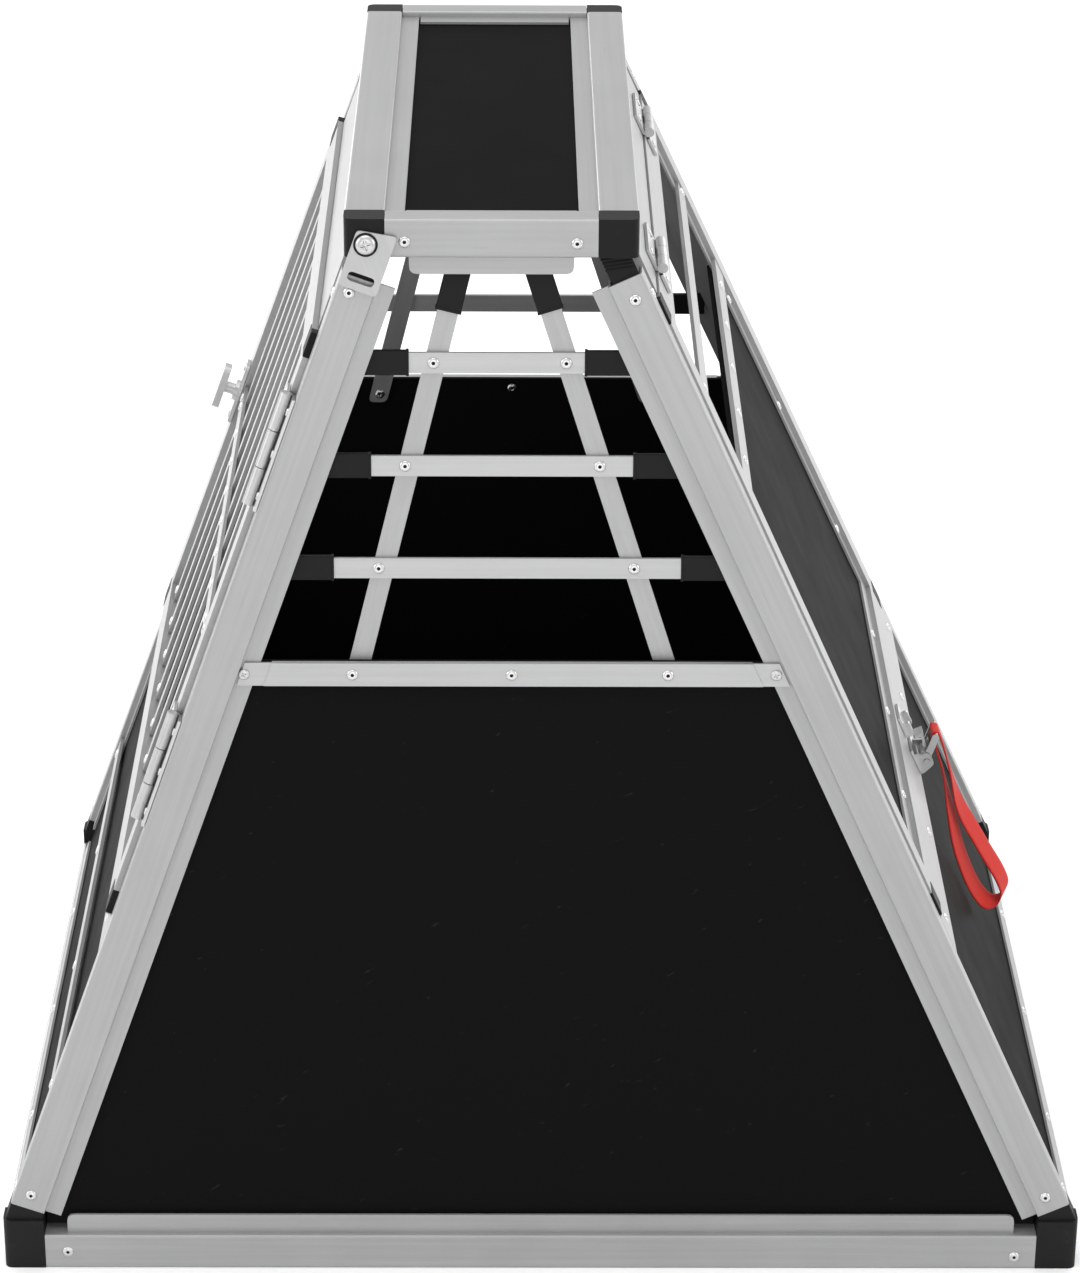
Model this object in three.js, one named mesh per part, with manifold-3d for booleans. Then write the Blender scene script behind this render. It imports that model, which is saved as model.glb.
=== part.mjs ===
// A trapezoid dog travel crate: a riveted frame of aluminium profile with black panels,
// barred windows in both end walls, a barred door in the front wall and an emergency
// hatch in the back wall.
// Millimetres. +Z is up, the door faces -Y and the crate's length runs along X. The
// origin is on the ground, in the middle of the base.
import * as THREE from 'three';
import { mergeVertices } from 'three/addons/utils/BufferGeometryUtils.js';
import Module from 'manifold-3d';

const wasm = await Module();
wasm.setup();

// Overall sizes
const baseLength = 670;
const baseDepth = 840;
const height = 844;
const roofLength = 540;
const roofDepth = 211;
const roofShift = -39;

// Aluminium profile: a box tube with a thin flange along each wall it borders
const profileFace = 29;
const profileDepth = 20;
const profileWall = 1.8;
const edgeRadius = 2;
const flangeWidth = 14;
const flangeThick = 2;
const flangeRecess = 5;
const baseRailHeight = 30;
const baseFlangeWidth = 16;
const flangeEndGap = 18;

// Plastic corner pieces
const baseCornerDepth = 32;
const baseCornerHeight = 46;
const baseBlockTop = 43;
const cornerRadius = 7;
const legLength = 28;
const legClearance = 0.4;

// Where the sloping posts start and stop
const postInset = 3;
const roofDrop = 36;
const postCutLow = 57;
const postCutHigh = height - 40;

// Panels and flat bars
const panelThick = 3;
const gap = 0.4;
const sideGap = 0.6;
const overlap = 0.2;
const plugDepth = 2;
const sheetCorner = 6;
const barWidth = 15.5;
const barThick = 2.8;
const barRecess = 8.6;
const barCorner = 5;
const strapFootLap = 12;
const midRailZ = 496.5;
const midRailWidth = 18;
const windowBarZ = [577.7, 656.5, 734.5];
const strapFoot = [0.195, 0.803];
const strapHead = [0.324, 0.749];

// Front and back walls
const crossRailTop = 290;
const sillBarZ = 138;
const wallRailDepth = 12;
const doorTop = 750;
const hatchTop = 775.5;
const leafGap = 1.4;
const leafLap = 1.5;
const leafBack = -4.6;
const doorFace = 4.5;
const hatchFace = 1.5;
const sillStep = 0.7;
const doorBars = 8;
const doorCrossZ = 505;
const hatchWindowSill = 626;
const hatchBarZ = 697;

// Hinges, latches and the tie-down bracket
const doorHinge = { length: 90, radius: 4.5, pin: 2, leaf: 24, frameLeaf: 14, lift: 7 };
const hatchHinge = { length: 60, radius: 4, pin: 1.8, leaf: 20, frameLeaf: 18, lift: 5.9 };
const hingeSheet = 2.2;
const pinClearance = 0.3;
const doorHingeZ = [415, 664];
const doorHingeInset = 16;
const hatchHingeX = 160;
const doorLatchZ = 503;
const doorLatchInset = profileDepth + flangeWidth + 8;
const spindle = { radius: 5, nut: 6.5, behind: 8.5 };
const latchPlate = { width: 20, length: 56, thick: 3, collar: 9 };
const turnGrip = { width: 14, length: 40, thick: 6, stand: 14 };
const hatchLatchX = 20;
const latchPivotZ = 270;
const latchPivotLift = 9;
const latchPin = 2.5;
const pinOut = 0.7;
const lever = { width: 24, arm: 1.8, barAt: [16, 15], bar: 1.8, webShare: 0.55, barrel: 4.1 };
const latchSeat = { foot: -9, head: 15, sheet: 2, ear: 2.5, play: 1, earTop: 5 };
const claw = { width: 14, reach: 21.5, thick: 2.5, lip: 7.5 };
const keeper = { foot: 27, top: 46, prongs: [25.5, 38], prongWidth: 3.5, sheet: 2 };
const strapWidth = 19;
const strapThick = 1.6;
const strapDrop = 156;
const strapSteps = 65;
const strapSpread = 5;
const strapTwist = 0.45;
const strapOpens = { from: 10, to: 80, lift: 3, reach: 6 };
const strapOuter = [[-20, 13.5], [-58, 8], [-105, 11], [-strapDrop + 10, 13.5], [-strapDrop, 5]];
const strapInner = [[-strapDrop + 12, -7], [-100, -8], [-55, 0], [-22, 7]];
const bracketWidth = 29;
const bracketSlot = [20, 7];
const bracketThick = 2;
const bracketZ = height - 27;
const bracketRise = 20;
const bracketFoot = 27;
const bracketHole = { radius: 3.2, at: [-1, 6] };
const bracketSlotAt = -18;

const aluminium = () => new THREE.MeshStandardMaterial({ color: 0xb8b8b8, roughness: 0.38, metalness: 1 });
const steel = () => new THREE.MeshStandardMaterial({ color: 0xa8a8a6, roughness: 0.3, metalness: 1 });
const blackPanel = () => new THREE.MeshStandardMaterial({ color: 0x1c1c1c, roughness: 0.45, metalness: 0 });
const blackPlastic = () => new THREE.MeshStandardMaterial({ color: 0x2b2b2b, roughness: 0.55, metalness: 0 });
const redWebbing = () => new THREE.MeshStandardMaterial({ color: 0xd8352b, roughness: 0.8, metalness: 0 });

// Lines of the sloping walls: how far out each wall is at height z
const postHeadZ = height - roofDrop;
const wallRise = postHeadZ - baseCornerHeight;
const between = (foot, head, z) => foot + (head - foot) * (z - baseCornerHeight) / wallRise;
const endAt = (z) => between(baseLength / 2 - postInset, roofLength / 2, z);
const frontAt = (z) => between(-(baseDepth / 2 - postInset), roofShift - roofDepth / 2, z);
const backAt = (z) => between(baseDepth / 2 - postInset, roofShift + roofDepth / 2, z);
const depthAt = (sy, z) => (sy < 0 ? frontAt(z) : backAt(z));
const roofEdge = (sy) => roofShift + sy * roofDepth / 2;

// A wall's own frame: x along the wall, y up its slope, z straight out of it
function makeWall(along, foot, rise) {
  const up = rise.clone().normalize();
  const out = along.clone().cross(up);
  const group = new THREE.Group();
  group.quaternion.setFromRotationMatrix(new THREE.Matrix4().makeBasis(along, up, out));
  group.position.copy(foot);
  return { group, stretch: rise.length() };
}

function slopingWall(sx, sy) {
  const along = sx ? new THREE.Vector3(0, sx, 0) : new THREE.Vector3(-sy, 0, 0);
  const onEnd = (z) => new THREE.Vector3(sx * endAt(z), 0, z);
  const onSide = (z) => new THREE.Vector3(0, depthAt(sy, z), z);
  const place = sx ? onEnd : onSide;
  return makeWall(along, place(0), place(1).sub(place(0)));
}

// A flat outline, counter-clockwise. A point's third number rounds that corner.
function outline(points) {
  const area = THREE.ShapeUtils.area(points.map(([x, y]) => new THREE.Vector2(x, y)));
  const ordered = area < 0 ? [...points].reverse() : points;
  const shape = new THREE.Shape();
  ordered.forEach(([x, y, radius = 0], i) => {
    const corner = new THREE.Vector2(x, y);
    const before = ordered[(i + ordered.length - 1) % ordered.length];
    const after = ordered[(i + 1) % ordered.length];
    const start = new THREE.Vector2(before[0], before[1]).sub(corner).setLength(radius).add(corner);
    const end = new THREE.Vector2(after[0], after[1]).sub(corner).setLength(radius).add(corner);
    if (i === 0) shape.moveTo(start.x, start.y);
    else shape.lineTo(start.x, start.y);
    if (radius > 0) shape.quadraticCurveTo(x, y, end.x, end.y);
  });
  return shape;
}

function extrude(shape, from, to, curveSegments = 3) {
  const geometry = new THREE.ExtrudeGeometry(shape, { depth: to - from, bevelEnabled: false, curveSegments });
  return geometry.translate(0, 0, from);
}

// An outline in a wall's frame, given with true heights, cut from sheet between two levels
function slab(wall, points, from, to) {
  return extrude(outline(points.map(([x, z, r = 0]) => [x, z * wall.stretch, r])), from, to);
}

function box(x, y, z) {
  const geometry = new THREE.BoxGeometry(x[1] - x[0], y[1] - y[0], z[1] - z[0]);
  return geometry.translate((x[0] + x[1]) / 2, (y[0] + y[1]) / 2, (z[0] + z[1]) / 2);
}

function rod(radius, from, to, segments = 20) {
  const geometry = new THREE.CylinderGeometry(radius, radius, to - from, segments);
  return geometry.rotateX(Math.PI / 2).translate(0, 0, (from + to) / 2);
}

// Solids for joining and cutting
function solid(geometry) {
  const bare = geometry.clone();
  bare.deleteAttribute('normal');
  bare.deleteAttribute('uv');
  const merged = mergeVertices(bare, 1e-4);
  const mesh = new wasm.Mesh({
    numProp: 3,
    vertProperties: new Float32Array(merged.attributes.position.array),
    triVerts: new Uint32Array(merged.index.array),
  });
  return new wasm.Manifold(mesh);
}

function fromSolid(body) {
  const mesh = body.getMesh();
  const geometry = new THREE.BufferGeometry();
  geometry.setAttribute('position', new THREE.BufferAttribute(new Float32Array(mesh.vertProperties), 3));
  geometry.setIndex(new THREE.BufferAttribute(new Uint32Array(mesh.triVerts), 1));
  return geometry;
}

const join = (...pieces) => fromSolid(pieces.map(solid).reduce((sum, piece) => sum.add(piece)));
function cut(whole, ...holes) {
  return fromSolid(holes.map(solid).reduce((rest, hole) => rest.subtract(hole), solid(whole)));
}


function part(name, geometry, material) {
  const mesh = new THREE.Mesh(geometry, material);
  mesh.name = name;
  return mesh;
}

const crate = new THREE.Group();
const endSides = { right: 1, left: -1 };
const walls = {
  right: slopingWall(1, 0),
  left: slopingWall(-1, 0),
  front: slopingWall(0, -1),
  back: slopingWall(0, 1),
};
Object.values(walls).forEach((wall) => crate.add(wall.group));

// ---- Corner posts ----

// A section that runs along a sloping corner, its ends cut square to it or level
function alongCorner(shape, sx, sy, low, high, levelTop = false) {
  const geometry = new THREE.ExtrudeGeometry(shape, { depth: 1, bevelEnabled: false, curveSegments: 3 });
  const dx = sx * (endAt(1) - endAt(0));
  const dy = depthAt(sy, 1) - depthAt(sy, 0);
  const lengthSquared = dx * dx + dy * dy + 1;
  const position = geometry.attributes.position;
  for (let i = 0; i < position.count; i += 1) {
    const x = position.getX(i);
    const y = position.getY(i);
    const isTop = position.getZ(i) > 0.5;
    const square = (isTop ? high : low) - (dx * x + dy * y) / lengthSquared;
    const z = isTop && levelTop ? high : square;
    position.setXYZ(i, x + dx * z + sx * endAt(0), y + dy * z + depthAt(sy, 0), z);
  }
  return geometry;
}

function cornerPoints(sx, sy, points) {
  return points.map(([x, y, r]) => [-sx * x, -sy * y, r]);
}

function boxSection(sx, sy, wall, clearance = 0, face = profileFace) {
  const inset = wall + clearance;
  return cornerPoints(sx, sy, [
    [inset, inset], [profileDepth - inset, inset],
    [profileDepth - inset, face - inset], [inset, face - inset],
  ]);
}

// Flange depths are square to each wall, so the level section takes them stretched
function postGeometry(sx, sy) {
  const levels = (wall) => [flangeRecess * wall.stretch, (flangeRecess + flangeThick) * wall.stretch];
  const [endOut, endIn] = levels(walls.right);
  const [sideOut, sideIn] = levels(sy < 0 ? walls.front : walls.back);
  const shape = outline(cornerPoints(sx, sy, [
    [0, 0, edgeRadius], [profileDepth, 0, edgeRadius / 2],
    [profileDepth, sideOut], [profileDepth + flangeWidth, sideOut],
    [profileDepth + flangeWidth, sideIn], [profileDepth, sideIn],
    [profileDepth, profileFace], [endIn, profileFace],
    [endIn, profileFace + flangeWidth], [endOut, profileFace + flangeWidth],
    [endOut, profileFace], [0, profileFace, edgeRadius / 2],
  ]));
  shape.holes.push(outline(boxSection(sx, sy, profileWall)));
  return alongCorner(shape, sx, sy, postCutLow, postCutHigh);
}

// ---- Rails of the base and roof ----

const X = new THREE.Vector3(1, 0, 0);
const Y = new THREE.Vector3(0, 1, 0);
const Z = new THREE.Vector3(0, 0, 1);
const acrossX = new THREE.Matrix4().makeBasis(Y, Z, X);
const acrossY = new THREE.Matrix4().makeBasis(Z, X, Y);

const rectangle = (a, b, radius = 0) => outline([
  [a[0], b[0], radius], [a[1], b[0], radius], [a[1], b[1], radius], [a[0], b[1], radius],
]);

// Ranges measured inward from a side face: side +1 or -1, outer face at half
const inward = (side, half, near, far) => [side * (half - near), side * (half - far)].sort((a, b) => a - b);

function tube(axis, x, y, z) {
  const [a, b] = axis === 'x' ? [y, z] : [z, x];
  const along = axis === 'x' ? x : y;
  const shape = rectangle(a, b, edgeRadius);
  const shrink = ([low, high]) => [low + profileWall, high - profileWall];
  shape.holes.push(rectangle(shrink(a), shrink(b)));
  return extrude(shape, along[0], along[1]).applyMatrix4(axis === 'x' ? acrossX : acrossY);
}

// An upright plate facing along X, its outline given in y and z
const uprightPlate = (points, x) => extrude(outline(points), x[0], x[1]).applyMatrix4(acrossX);

function inWorld(wall, geometry) {
  wall.group.updateMatrix();
  return geometry.applyMatrix4(wall.group.matrix);
}

const flangeLevels = [-flangeRecess - flangeThick, -flangeRecess];

function baseEndRail(sx) {
  const half = baseLength / 2;
  const end = baseDepth / 2 - baseCornerDepth - gap;
  const flangeEnd = baseDepth / 2 - baseCornerDepth - flangeEndGap;
  const top = baseRailHeight + baseFlangeWidth;
  const low = baseRailHeight - profileWall / 2;
  const floorEnd = baseDepth / 2 - profileDepth - flangeWidth - 1;
  return join(
    tube('y', inward(sx, half, 0, profileDepth), [-end, end], [0, baseRailHeight]),
    uprightPlate(
      [[-flangeEnd, low], [flangeEnd, low], [flangeEnd, top, sheetCorner], [-flangeEnd, top, sheetCorner]],
      inward(sx, half, flangeRecess, flangeRecess + flangeThick)),
    box(inward(sx, half, profileDepth - 1, profileDepth + flangeWidth), [-floorEnd, floorEnd],
      [flangeRecess, flangeRecess + flangeThick]),
  );
}

function baseSideRail(sy, wall) {
  const half = baseDepth / 2;
  const end = baseLength / 2 - profileDepth - gap;
  const top = baseRailHeight + baseFlangeWidth;
  const flangeEnd = endAt(top) - profileDepth - flangeWidth - 3;
  const tilt = Math.sqrt(1 - 1 / wall.stretch ** 2);
  const low = baseRailHeight - profileWall + (flangeRecess + flangeThick) * tilt + overlap;
  return join(
    tube('x', [-end, end], inward(sy, half, 0, profileDepth), [0, baseRailHeight]),
    inWorld(wall, slab(wall, [
      [-flangeEnd, low], [flangeEnd, low], [flangeEnd, top, sheetCorner], [-flangeEnd, top, sheetCorner],
    ], ...flangeLevels)),
    box([-end, end], inward(sy, half, profileDepth - 1, profileDepth + flangeWidth),
      [flangeRecess, flangeRecess + flangeThick]),
  );
}

function roofEndRail(sx) {
  const half = roofLength / 2;
  const y = [roofEdge(-1) + profileFace + gap, roofEdge(1) - profileFace - gap];
  const low = height - profileFace;
  const flangeY = [y[0] + flangeWidth + 3, y[1] - flangeWidth - 3];
  const top = height - flangeRecess;
  return join(
    tube('y', inward(sx, half, 0, profileDepth), y, [low, height]),
    uprightPlate([
      [flangeY[0], low - flangeWidth, sheetCorner], [flangeY[1], low - flangeWidth, sheetCorner],
      [flangeY[1], low + profileWall / 2], [flangeY[0], low + profileWall / 2],
    ], inward(sx, half, flangeRecess, flangeRecess + flangeThick)),
    box(inward(sx, half, profileDepth - 1, profileDepth + flangeWidth),
      [y[0] + flangeWidth + 1, y[1] - flangeWidth - 1], [top - flangeThick, top]),
  );
}

// The roof's long rails carry the header that closes the wall above its door or hatch
function roofSideRail(sy, wall, headerFoot) {
  const end = roofLength / 2 - profileDepth - gap;
  const low = height - profileDepth;
  const top = height - flangeRecess;
  const reach = (z) => endAt(z) - profileDepth - flangeWidth - sideGap;
  const headerTop = low + profileWall * 0.8;
  return join(
    tube('x', [-end, end], inward(sy, sy * roofEdge(sy), 0, profileFace), [low, height]),
    box([-end, end], inward(sy, sy * roofEdge(sy), profileFace - 1, profileFace + flangeWidth),
      [top - flangeThick, top]),
    inWorld(wall, slab(wall, [
      [-reach(headerFoot), headerFoot], [reach(headerFoot), headerFoot],
      [reach(headerTop), headerTop], [-reach(headerTop), headerTop],
    ], -wallRailDepth, 0)),
    inWorld(wall, slab(wall, [
      [-reach(headerFoot), headerFoot - flangeWidth], [reach(headerFoot), headerFoot - flangeWidth],
      [reach(headerFoot), headerFoot + 1], [-reach(headerFoot), headerFoot + 1],
    ], ...flangeLevels)),
  );
}

// ---- Plastic corner pieces, with legs that plug into the tubes ----

function roundedBlock(sx, sy, half, edge, size, z) {
  const shape = outline(cornerPoints(sx, sy, [
    [0, 0, cornerRadius], [size[0], 0], [size[0], size[1]], [0, size[1]],
  ]));
  return extrude(shape, z[0], z[1], 6).translate(sx * half, sy * edge, 0);
}

function tubeLegs(sx, sy, half, edge, size, endZ, sideZ, sideFace) {
  const inset = profileWall + legClearance;
  return [
    box(
      inward(sx, half, inset, profileDepth - inset),
      inward(sy, edge, size[1] - plugDepth, size[1] + legLength),
      [endZ[0] + inset, endZ[1] - inset]),
    box(
      inward(sx, half, size[0] - plugDepth, size[0] + legLength),
      inward(sy, edge, inset, sideFace - inset),
      [sideZ[0] + inset, sideZ[1] - inset]),
  ];
}

const legSection = (sx, sy, face) => outline(boxSection(sx, sy, profileWall, legClearance, face));

function baseCorner(sx, sy) {
  const size = [profileDepth, baseCornerDepth];
  const neck = outline(cornerPoints(sx, sy, [
    [0, 0, edgeRadius], [profileDepth, 0, edgeRadius / 2], [profileDepth, profileFace], [0, profileFace],
  ]));
  const rail = [0, baseRailHeight];
  return join(
    roundedBlock(sx, sy, baseLength / 2, baseDepth / 2, size, [0, baseBlockTop]),
    alongCorner(neck, sx, sy, baseBlockTop, postCutLow - gap),
    alongCorner(legSection(sx, sy, profileFace), sx, sy, postCutLow - plugDepth, postCutLow + legLength),
    ...tubeLegs(sx, sy, baseLength / 2, baseDepth / 2, size, rail, rail, profileDepth),
  );
}

function roofCorner(sx, sy) {
  const size = [profileDepth, profileFace];
  const low = height - profileFace;
  const half = roofLength / 2;
  const edge = sy * roofEdge(sy);
  return join(
    roundedBlock(sx, sy, half, edge, size, [low, height]),
    alongCorner(legSection(sx, sy, profileFace - 1.6), sx, sy, postCutHigh - legLength, low + 1, true),
    ...tubeLegs(sx, sy, half, edge, size, [low, height], [height - profileDepth, height], profileFace),
  );
}

// ---- Panels of the floor, roof and end walls ----

function floorPanel() {
  const x = baseLength / 2 - profileDepth - sideGap;
  const y = baseDepth / 2 - profileDepth - sideGap;
  const z = flangeRecess + flangeThick + gap;
  return box([-x, x], [-y, y], [z, z + panelThick]);
}

function roofPanel() {
  const x = roofLength / 2 - profileDepth - sideGap;
  const y = [roofEdge(-1) + profileFace + sideGap, roofEdge(1) - profileFace - sideGap];
  const z = height - flangeRecess - flangeThick - gap;
  return box([-x, x], y, [z - panelThick, z]);
}

const panelLevels = [-flangeRecess - flangeThick - gap - panelThick, -flangeRecess - flangeThick - gap];
const panelFootZ = 36;
const panelTuck = 4;

// The post boxes' inner sides, seen along an end wall, with a margin beyond them
const postSide = (sy, z, margin) => depthAt(sy, z) - sy * (profileFace + margin);

function endPanel(sx, wall) {
  const top = midRailZ + midRailWidth / wall.stretch / 2;
  const cornerSide = baseDepth / 2 - baseCornerDepth - sideGap;
  const bend = baseCornerHeight + 3;
  const side = (sy) => [
    [sx * sy * Math.min(cornerSide, Math.abs(postSide(sy, bend, sideGap))), panelFootZ],
    [sx * sy * Math.min(cornerSide, Math.abs(postSide(sy, bend, sideGap))), bend],
    [sx * postSide(sy, top, sideGap), top],
  ];
  return slab(wall, [...side(-1), ...side(1).reverse()], ...panelLevels);
}

// A flat strip across an end wall whose ends follow the posts
function endStrip(sx, wall, z, width, margin, levels) {
  const rise = width / wall.stretch / 2;
  const at = (sy, edge) => [sx * postSide(sy, edge, margin), edge];
  return slab(wall, [at(-1, z - rise), at(1, z - rise), at(1, z + rise), at(-1, z + rise)], ...levels);
}

// The rail over the panel's top edge: pressed flat where its ends lie on the post flanges
function midRail(sx, wall) {
  const lap = [-flangeRecess + gap, -flangeRecess + gap + flangeThick];
  const body = [-flangeRecess - flangeThick + 0.1, lap[1] + 0.8];
  return join(
    endStrip(sx, wall, midRailZ, midRailWidth, 2, lap),
    endStrip(sx, wall, midRailZ, midRailWidth, flangeWidth + 8, body),
  );
}

const barLevels = [-barRecess - barThick, -barRecess];
const strapLevels = [barLevels[0] - 0.3 - barThick, barLevels[0] - 0.3];

function strap(sx, wall, foot, head) {
  const across = (z, fraction) => {
    const [low, high] = [postSide(-1, z, flangeWidth), postSide(1, z, flangeWidth)];
    return low + (high - low) * fraction;
  };
  const z = [midRailZ - strapFootLap, height - profileFace - 3];
  const y = [across(z[0], foot), across(z[1], head)];
  const half = barWidth / 2 * Math.hypot(1, (y[1] - y[0]) / (z[1] - z[0]));
  return slab(wall, [
    [sx * (y[0] - half), z[0], barCorner], [sx * (y[0] + half), z[0], barCorner],
    [sx * (y[1] + half), z[1]], [sx * (y[1] - half), z[1]],
  ], ...strapLevels);
}

// ---- Front and back walls ----

// An outline across a front or back wall, its sides a given distance inside the wall's corners
function acrossWall(inset, low, high) {
  const [foot, head] = [endAt(low) - inset, endAt(high) - inset];
  return [[-foot, low], [foot, low], [head, high], [-head, high]];
}

const besidePost = profileDepth + sideGap;
const besideFlange = besidePost + flangeWidth;
const lapLevels = [-flangeRecess + gap, 0];

function crossRail(wall) {
  const low = crossRailTop - profileFace;
  return join(
    slab(wall, acrossWall(besidePost, low, crossRailTop), ...lapLevels),
    slab(wall, acrossWall(besideFlange, low, crossRailTop), -wallRailDepth, 0),
    slab(wall, acrossWall(besideFlange, low - flangeWidth, low + 1), ...flangeLevels),
    slab(wall, acrossWall(besideFlange, crossRailTop - 1, crossRailTop + flangeWidth), ...flangeLevels),
  );
}

function lowerPanel(wall) {
  return slab(wall, acrossWall(besidePost, panelFootZ, crossRailTop - profileFace - panelTuck), ...panelLevels);
}

function sillBar(wall) {
  const half = barWidth / wall.stretch / 2;
  const shape = acrossWall(besidePost, sillBarZ - half, sillBarZ + half);
  return slab(wall, shape, lapLevels[0], lapLevels[0] + barThick);
}

// A leaf's frame: a ring of flat box section with a thin flange around its opening
const leafInset = profileDepth + 1.2;
const leafFoot = crossRailTop + leafGap;

function ring(wall, low, high, inner, outer, levels) {
  const shape = (width) => {
    const step = width / wall.stretch;
    return acrossWall(leafInset + width, low + step, high - step);
  };
  return cut(slab(wall, shape(outer), ...levels), slab(wall, shape(inner), levels[0] - 1, levels[1] + 1));
}

const leafFlange = [leafBack, leafBack + flangeThick];

const leafRing = (wall, top, face) => join(
  ring(wall, leafFoot, top, profileFace, 0, [leafBack, face]),
  ring(wall, leafFoot, top, profileFace + flangeWidth, profileFace - 1, leafFlange),
);

function doorFrame(wall) {
  const x = -(endAt(doorLatchZ) - doorLatchInset);
  const bore = rod(spindle.radius + pinClearance, leafBack - 1, doorFace + 1).translate(x, doorLatchZ * wall.stretch, 0);
  return cut(leafRing(wall, doorTop, doorFace), bore);
}

function doorGrille(wall) {
  const rise = (profileFace + leafLap) / wall.stretch;
  const [low, high] = [leafFoot + rise, doorTop - rise];
  const level = leafFlange[1] + 0.3;
  const spread = (z) => endAt(z) - leafInset - profileFace - flangeWidth - barWidth;
  const bars = [];
  for (let i = 0; i < doorBars; i += 1) {
    const share = 2 * i / (doorBars - 1) - 1;
    const [foot, head] = [share * spread(low), share * spread(high)];
    const half = barWidth / 2;
    bars.push(slab(wall, [[foot - half, low], [foot + half, low], [head + half, high], [head - half, high]],
      level, level + barThick));
  }
  const crossHalf = barWidth / wall.stretch / 2;
  const crossShape = acrossWall(leafInset + profileFace + leafLap, doorCrossZ - crossHalf, doorCrossZ + crossHalf);
  const cross = slab(wall, crossShape, level + barThick - overlap, level + 2 * barThick - overlap);
  return join(cross, ...bars);
}

function hatchFrame(wall) {
  const half = (width) => width / wall.stretch / 2;
  const sill = midRailWidth;
  return join(
    leafRing(wall, hatchTop, hatchFace),
    slab(wall, acrossWall(leafInset + profileFace - 1, hatchWindowSill - half(sill), hatchWindowSill + half(sill)),
      leafFlange[1] - overlap, hatchFace - sillStep),
    slab(wall, acrossWall(leafInset + profileFace - 1, hatchBarZ - half(barWidth), hatchBarZ + half(barWidth)),
      leafFlange[1] - overlap, leafFlange[1] + barThick),
  );
}

const hatchPanel = (wall) => slab(
  wall,
  acrossWall(leafInset + profileFace + 1, leafFoot + 26, hatchWindowSill + 5),
  leafBack - gap - panelThick, leafBack - gap);

// ---- Hinges: three knuckles on a pin, the axis along local y ----

function knuckle(size, from, to) {
  const barrel = new THREE.CylinderGeometry(size.radius, size.radius, to - from, 20);
  return barrel.translate(0, (from + to) / 2, 0);
}

// A leaf and the knuckles it carries. side +1 lies on the fixed frame, -1 on the moving leaf.
function hingeLeaf(size, side, width, level) {
  const third = size.length / 3;
  const play = 0.3;
  const spans = side > 0
    ? [[-size.length / 2, -third / 2 - play], [third / 2 + play, size.length / 2]]
    : [[-third / 2 + play, third / 2 - play]];
  const sheet = [level - size.lift, level - size.lift + hingeSheet];
  const clear = size.radius + 0.7;
  const pieces = [box([side * clear, side * width].sort((a, b) => a - b), [-size.length / 2, size.length / 2], sheet)];
  spans.forEach(([from, to]) => {
    pieces.push(knuckle(size, from, to));
    pieces.push(box([0, side * (clear + 1)].sort((a, b) => a - b), [from, to], sheet));
  });
  const pin = { radius: size.pin };
  if (side > 0) return join(...pieces, knuckle(pin, -size.length / 2, size.length / 2));
  const bore = { radius: size.pin + pinClearance };
  return cut(join(...pieces), knuckle(bore, -size.length / 2, size.length / 2));
}

function hingePair(name, wall, size, place, turn, faceLevel) {
  const root = new THREE.Group();
  root.position.copy(place);
  root.rotation.z = turn;
  root.add(part(`${name}_frame_leaf`, hingeLeaf(size, 1, size.frameLeaf, gap), steel()));
  root.add(part(`${name}_moving_leaf`, hingeLeaf(size, -1, size.leaf, faceLevel + gap), steel()));
  wall.group.add(root);
}

// ---- Latches ----

const centred = (width, length, radius) => rectangle([-width / 2, width / 2], [-length / 2, length / 2], radius);

function doorLatch(wall) {
  const place = new THREE.Group();
  place.position.set(-(endAt(doorLatchZ) - doorLatchInset), doorLatchZ * wall.stretch, 0);
  const level = doorFace + gap;
  const top = level + 2 * latchPlate.thick;
  const plate = extrude(centred(latchPlate.width, latchPlate.length, 4), level, level + latchPlate.thick);
  const collar = rod(latchPlate.collar, level + latchPlate.thick - 1, top);
  const bore = rod(spindle.radius + pinClearance, level - 1, top + 1);
  place.add(part('door_latch_base', cut(join(plate, collar), bore), steel()));
  const stand = level + turnGrip.stand;
  const handle = join(
    rod(spindle.radius, leafBack - spindle.behind + 1, stand + 1),
    rod(spindle.nut, leafBack - spindle.behind, leafBack - gap),
    extrude(centred(turnGrip.width, turnGrip.length, 5), stand, stand + turnGrip.thick),
  );
  place.add(part('door_latch_handle', handle, steel()));
  wall.group.add(place);
}

// A plate standing across the latch, its outline given in height above the pivot and lift
function sidePlate(points, x) {
  return extrude(outline(points), x[0], x[1]).applyMatrix4(acrossX);
}

function crossPin(radius, half, at = [0, 0]) {
  const pin = new THREE.CylinderGeometry(radius, radius, 2 * half, 16);
  return pin.rotateZ(Math.PI / 2).translate(0, ...at);
}

const leverHalf = lever.width / 2;
const latchFloor = -latchPivotLift + gap;

function latchBase() {
  const { foot, head, sheet, ear, play, earTop } = latchSeat;
  const low = latchFloor + sheet + 1;
  const earShape = [
    [foot, latchFloor], [-foot, latchFloor], [-foot, low], [earTop, earTop, 3], [-earTop, earTop, 3], [foot, low],
  ];
  const earSide = leverHalf + play;
  const plateSide = earSide + ear + 1.5;
  const base = join(
    extrude(rectangle([-plateSide, plateSide], [foot, head], 2), latchFloor, latchFloor + sheet),
    sidePlate(earShape, [-earSide - ear, -earSide]),
    sidePlate(earShape, [earSide, earSide + ear]),
  );
  return cut(base, crossPin(latchPin + pinClearance, plateSide + 1));
}

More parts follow.
